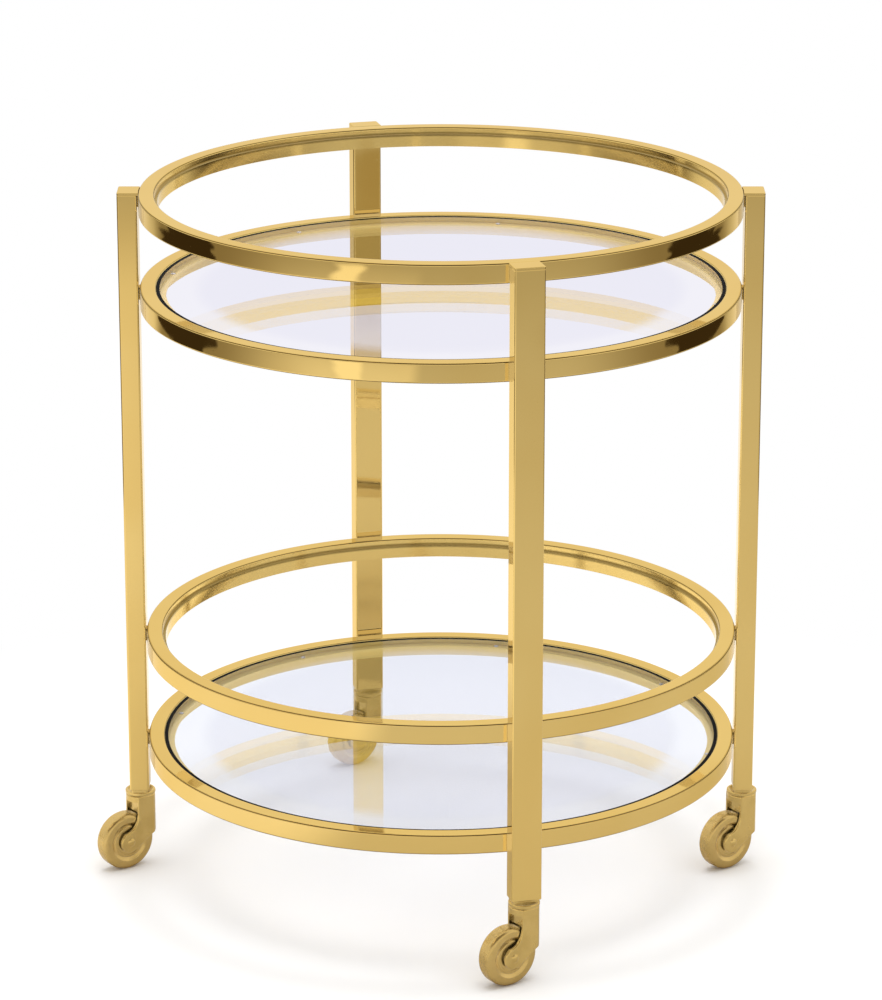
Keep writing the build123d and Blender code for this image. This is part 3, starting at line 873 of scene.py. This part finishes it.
class CART_OT_shelves(bpy.types.Operator):
    """Lay a glass pane on clear pads in each shelf ring"""

    bl_idname = "cart.shelves"
    bl_label = "Glass shelves"

    def execute(self, context):
        sizes = context.scene.cart_sizes
        vinyl = finish("clear_vinyl", clear_vinyl)
        # The ledge under the glass is satin plate, with a lighter colour that is painted light
        seat = polished_plate(around_axis, FLAT_WAVE, dull=SEAT_DULL, satin=SEAT_SATIN)
        satin = finish("satin_plate", seat)
        # The black strip round the glass is painted shade for the dark gap, finished as moulded rubber
        rubber = finish("black_rubber", moulded("seal_black", shine=0.08, rough=0.7))
        for shelf in SHELVES:
            # The lower pane is seen through painted shade, the upper one through none
            shade = WHITE if shelf == "upper_shelf" else context.scene.cart_finishes.glass_shade
            glass = finish(f"clear_float_glass_{shelf}", clear_glass(shade))
            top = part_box(f"{shelf}_glass")[1].z
            bottom = top - sizes.glass_thickness
            rim = [
                (0.0, top, 0.0),
                (sizes.glass_radius, top, sizes.glass_edge),
                (sizes.glass_radius, bottom, sizes.glass_edge),
                (0.0, bottom, 0.0),
            ]
            mesh = turned_mesh(f"{shelf}_pane", rounded(rim, False), sizes.ring_segments, False)
            piece(f"{shelf}_pane", mesh, glass, "frame", "shelf_glass", f"{shelf}_glass")
            self.bumpers(shelf, sizes, vinyl)
            self.seal(shelf, sizes, rubber)
            coat(f"{shelf}_ledge", satin)
        return {"FINISHED"}

    def seal(self, shelf, sizes, rubber):
        """The thin black strip that fills the gap between a pane and its ring: painted shade for the dark
        gap.
        """
        lip = sizes.ring_radius - sizes.ring_face
        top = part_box(f"{shelf}_ring")[1].z - sizes.seal_drop
        low = top - sizes.seal_thickness
        strip = [
            (lip, low, 0.0),
            (lip, top, sizes.seal_edge),
            (sizes.glass_radius, top, sizes.seal_edge),
            (sizes.glass_radius, low, 0.0),
        ]
        mesh = turned_mesh(f"{shelf}_seal", rounded(strip, True, GAP_SHADE_STRIP_ARC_STEPS), sizes.ring_segments, True)
        piece(f"{shelf}_seal", mesh, rubber, "frame", "socket_plastic")

    def bumpers(self, shelf, sizes, vinyl):
        """The clear pads under one pane, with bulging sides."""
        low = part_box(f"{shelf}_pads")[0].z
        radius, tall = sizes.pad_diameter / 2, sizes.pad_thickness
        end = radius * sizes.pad_taper
        side = [
            (0.0, tall, 0.0),
            (end, tall, 0.0),
            (radius, tall / 2, sizes.pad_edge),
            (end, 0.0, 0.0),
            (0.0, 0.0, 0.0),
        ]
        mesh = turned_mesh(f"{shelf}_bumper", rounded(side, False), PAD_SEGMENTS, False)
        places = []
        for k in range(sizes.pad_count):
            azimuth = sizes.pad_start + math.tau * k / sizes.pad_count
            x, y = math.cos(azimuth) * sizes.pad_circle, math.sin(azimuth) * sizes.pad_circle
            places.append(Matrix.Translation((x, y, low)))
        joined = repeated(f"{shelf}_bumpers", mesh, places)
        bpy.data.meshes.remove(mesh)
        piece(f"{shelf}_bumpers", joined, vinyl, "frame", "clear_pad", f"{shelf}_pads")


class CART_OT_casters(bpy.types.Operator):
    """Lacquer the forks, collars and axles, and finish the fittings inside them"""

    bl_idname = "cart.casters"
    bl_label = "Casters"

    def execute(self, context):
        casting = finish("lacquered_casting", lacquered_casting)
        steel = finish("zinc_steel", zinc_steel)
        nylon = finish("moulded_nylon", moulded("socket_black"))
        acetal = finish("moulded_acetal", moulded("bush_cream"))
        for corner in CORNERS:
            for part in ("caster_fork", "caster_collar", "wheel_axle"):
                coat(f"{part}_{corner}", casting)
            coat(f"caster_stem_{corner}", steel)
            coat(f"stem_socket_{corner}", nylon)
            coat(f"wheel_bush_{corner}", acetal)
        return {"FINISHED"}


class CART_OT_wheels(bpy.types.Operator):
    """Turn the hubs and tyres and hang them on their axles"""

    bl_idname = "cart.wheels"
    bl_label = "Wheels"

    def execute(self, context):
        sizes = context.scene.cart_sizes
        lacquer = finish("wheel_lacquer", wheel_lacquer)
        for corner in CORNERS:
            joint = JOINTS[f"roll_{corner}"]
            turn = Vector(joint["axis"]).to_track_quat("Z", "Y").to_matrix().to_4x4()
            at = Matrix.Translation(Vector(joint["pos_m"])) @ turn
            body = f"wheel_{corner}"
            sections = (("tyre", self.tyre(sizes), "tread"), ("wheel_centre", self.hub(sizes), "hub"))
            for name, outline, node in sections:
                mesh = turned_mesh(f"{name}_{corner}", outline, WHEEL_SEGMENTS, True)
                piece(f"{name}_{corner}", mesh, lacquer, body, "wheel_gold", f"wheel_{node}_{corner}", at=at)
        return {"FINISHED"}

    def mirrored(self, half):
        """A closed outline from one half, given outwards from the bore."""
        other = [(r, -across, rounding) for r, across, rounding in reversed(half)]
        return rounded(half + other, True, SMALL_ARC_STEPS)

    def tyre(self, sizes):
        """The tyre's section: seat, groove beside the hub, bead, face and shoulder."""
        seat = sizes.hub_rim_width / 2 - sizes.hub_rim_edge
        half = [
            (sizes.hub_radius, seat, 0.0),
            (sizes.hub_radius + sizes.tyre_groove, seat, 0.0),
            (sizes.tyre_face_radius, sizes.wheel_width / 2, sizes.tyre_bead),
            (sizes.wheel_radius, sizes.wheel_width / 2, sizes.tyre_shoulder),
        ]
        return self.mirrored(half)

    def hub(self, sizes):
        """The hub's section: boss, dished web and rounded rim."""
        boss, web, rim = sizes.hub_boss_width / 2, sizes.hub_web_width / 2, sizes.hub_rim_width / 2
        half = [
            (sizes.hub_bore, boss, 0.0),
            (sizes.hub_boss_radius, boss, sizes.hub_boss_edge),
            (sizes.hub_boss_radius, web, sizes.hub_boss_fillet),
            (sizes.hub_rim_radius, web, sizes.hub_rim_fillet),
            (sizes.hub_rim_radius, rim, sizes.hub_rim_lip),
            (sizes.hub_radius, rim, sizes.hub_rim_edge),
        ]
        return self.mirrored(half)


class CART_OT_stage(bpy.types.Operator):
    """Set the white floor, the even light, the softbox and the camera"""

    bl_idname = "cart.stage"
    bl_label = "Stage"

    def execute(self, context):
        scene = context.scene
        stage = scene.cart_stage
        scene.view_settings.view_transform = "Standard"
        self.floor(scene, stage)
        self.world(scene, stage)
        self.softbox(scene, stage)
        self.camera(scene, stage)
        return {"FINISHED"}

    def floor(self, scene, stage):
        """White paper that keeps the cart's shadow near it. Metal also mirrors a lit strip on it."""
        shape = bmesh.new()
        bmesh.ops.create_grid(shape, x_segments=FLOOR_GRID, y_segments=FLOOR_GRID, size=stage.floor_size / 2)
        floor = bpy.data.objects.new("studio_floor", settled("studio_floor", shape))
        scene.collection.objects.link(floor)
        floor.rotation_euler.z = stage.view_azimuth
        paper = bpy.data.materials.new("white_paper")
        tree = Tree(paper)
        x, y, _ = tree.parts(tree.place())
        radius = tree.radius(x, y)
        turn = tree.maths("ARCTAN2", abs(x), 0.0 - y)
        aside = tree.maths("ARCTAN2", x, 0.0 - y)
        spread = tree.vector(turn * RAGGED_TURN, radius * RAGGED_REACH, 0.0)
        ragged = (tree.noise(spread, scale=1.0, detail=3.0) - 0.5) * RAGGED_WIDTH
        glossy = tree.ray("Is Glossy Ray")
        white = tree.blend(glossy, PAPER, self.mirrored_paper(tree, stage, x, radius, turn, aside, ragged))
        matte = tree.principled({"Base Color": white, "Roughness": 1.0, "Specular IOR Level": 0.0})
        bright = tree.node("Emission", (), {"Color": WHITE, "Strength": 1.0})
        seen = tree.maths("MAXIMUM", tree.ray("Is Camera Ray"), tree.ray("Is Transmission Ray"))
        shown = tree.choose(tree.smooth(radius, *SHADOW_REACH) * seen, matte, bright)
        strip = tree.node("Emission", (), {"Color": WHITE, "Strength": STRIP_STRENGTH})
        lit = tree.band(aside + ragged * STRIP_RAGGED, *STRIP_TURN) * tree.band(radius, *STRIP_REACH)
        tree.surface(tree.choose(lit * glossy, shown, strip))
        floor.data.materials.append(paper)

    def mirrored_paper(self, tree, stage, x, radius, turn, aside, ragged):
        """The paper as polished metal mirrors it.

        It is brighter on one side, dims with distance and towards the sides, and is white again behind the
        cart. It has a shaded patch in front, two dark flags with ragged edges and a dark far end.
        """
        tone, front, rear = stage.floor_tone, stage.flag_front, stage.flag_rear
        outer = tree.smooth(radius, stage.flag_distance, stage.flag_distance + FLAG_FADE)
        dusk = tree.smooth(radius, stage.paper_reach, stage.paper_reach + DUSK_FADE)
        side = tree.band(turn, (SHADE_START, front), (rear, rear + SHADE_FADE)) * outer
        behind = tree.smooth(turn, *(rear + start for start in REAR_RISE))
        patch = tree.band(aside, *PATCH_TURN) * tree.band(radius, *PATCH_REACH)
        flag = tree.band(turn + ragged, (front, front + FLAG_EDGE), (rear - FLAG_EDGE, rear)) * outer
        dark = tree.maths("MAXIMUM", flag, tree.smooth(radius, *FAR_EDGE))
        twice = tree.smooth(tree.ray("Glossy Depth"), *SECOND_MIRROR)
        paper = tree.blend(tree.smooth(x, *BRIGHT_EDGE), times(WHITE, tone * BRIGHT_GAIN), times(WHITE, tone))
        for part, tint in (
            (dusk, times(DUSK, tone)),
            (side, times(SHADE, tone)),
            (behind, REAR),
            (patch, times(PATCH, tone)),
            (dark, FLAG_DARK),
            (twice, SECOND_TONE),
        ):
            paper = tree.blend(part, paper, tint)
        return paper

    def world(self, scene, stage):
        """Even light all round, plain white where it is seen. Metal also mirrors a dim room and a lamp."""
        world = bpy.data.worlds.new("studio")
        scene.world = world
        tree = Tree(world)
        glossy = tree.ray("Is Glossy Ray")
        seen = tree.maths("MAXIMUM", tree.ray("Is Camera Ray"), glossy)
        seen = tree.maths("MAXIMUM", seen, tree.ray("Is Transmission Ray"))
        x, y, z = tree.parts(tree.node("TexCoord", out="Generated"))
        ahead = (x * math.sin(stage.view_azimuth) - y * math.cos(stage.view_azimuth)) / tree.radius(x, y)
        room = tree.band(z, *ROOM_HEIGHT) * tree.smooth(ahead, *ROOM_AHEAD) * glossy
        raised = Vector((0.0, -math.cos(LAMP_HEIGHT), math.sin(LAMP_HEIGHT)))
        toward = Matrix.Rotation(stage.view_azimuth - LAMP_ASIDE, 3, "Z") @ raised
        near = x * toward.x + y * toward.y + z * toward.z
        lamp = tree.smooth(near, math.cos(LAMP_OUTER), math.cos(LAMP_INNER)) * glossy
        strength = stage.fill + seen * (1.0 - stage.fill) + lamp * LAMP_STRENGTH
        sky = tree.node("Background", (), {"Color": tree.blend(room, WHITE, ROOM), "Strength": strength})
        tree.node("OutputWorld", (), {"Surface": sky})

    def softbox(self, scene, stage):
        """One broad lamp straight over the cart."""
        lamp = bpy.data.lights.new("softbox", "AREA")
        lamp.shape = "SQUARE"
        lamp.size = stage.softbox_size
        lamp.energy = stage.softbox_power
        over = bpy.data.objects.new("softbox", lamp)
        over.location = (0.0, 0.0, stage.softbox_height)
        over.visible_glossy = False
        scene.collection.objects.link(over)

    def camera(self, scene, stage):
        """The camera, level in roll, aimed at the rings' axis."""
        lens = bpy.data.cameras.new("camera")
        lens.lens = stage.lens
        lens.sensor_width = SENSOR_WIDTH
        camera = bpy.data.objects.new("camera", lens)
        toward = Vector((math.sin(stage.view_azimuth), -math.cos(stage.view_azimuth), 0.0))
        camera.location = toward * stage.camera_distance + Vector((0.0, 0.0, stage.camera_height))
        aim = Vector((0.0, 0.0, stage.aim_height)) - camera.location
        camera.rotation_euler = aim.to_track_quat("-Z", "Y").to_euler()
        scene.collection.objects.link(camera)
        scene.camera = camera


OPERATORS = (
    CART_OT_rings,
    CART_OT_legs,
    CART_OT_welds,
    CART_OT_shelves,
    CART_OT_casters,
    CART_OT_wheels,
    CART_OT_stage,
)


class CART_PT_panel(bpy.types.Panel):
    """Lists the cart's pieces in the sidebar"""

    bl_idname = "CART_PT_panel"
    bl_label = "Bar Cart"
    bl_space_type = "VIEW_3D"
    bl_region_type = "UI"
    bl_category = "Bar Cart"

    def draw(self, context):
        for operator in OPERATORS:
            self.layout.operator(operator.bl_idname)


GROUPS = {"cart_sizes": CartSizes, "cart_finishes": CartFinishes, "cart_stage": CartStage}
CLASSES = (*GROUPS.values(), *OPERATORS, CART_PT_panel)


def register():
    for cls in CLASSES:
        bpy.utils.register_class(cls)
    for name, group in GROUPS.items():
        setattr(bpy.types.Scene, name, PointerProperty(type=group))


def unregister():
    for name in GROUPS:
        delattr(bpy.types.Scene, name)
    for cls in reversed(CLASSES):
        bpy.utils.unregister_class(cls)


def main():
    """Register the add-on and make every piece in order."""
    register()
    bpy.ops.cart.rings()
    bpy.ops.cart.legs()
    bpy.ops.cart.welds()
    bpy.ops.cart.shelves()
    bpy.ops.cart.casters()
    bpy.ops.cart.wheels()
    bpy.ops.cart.stage()


if __name__ == "__main__":
    main()
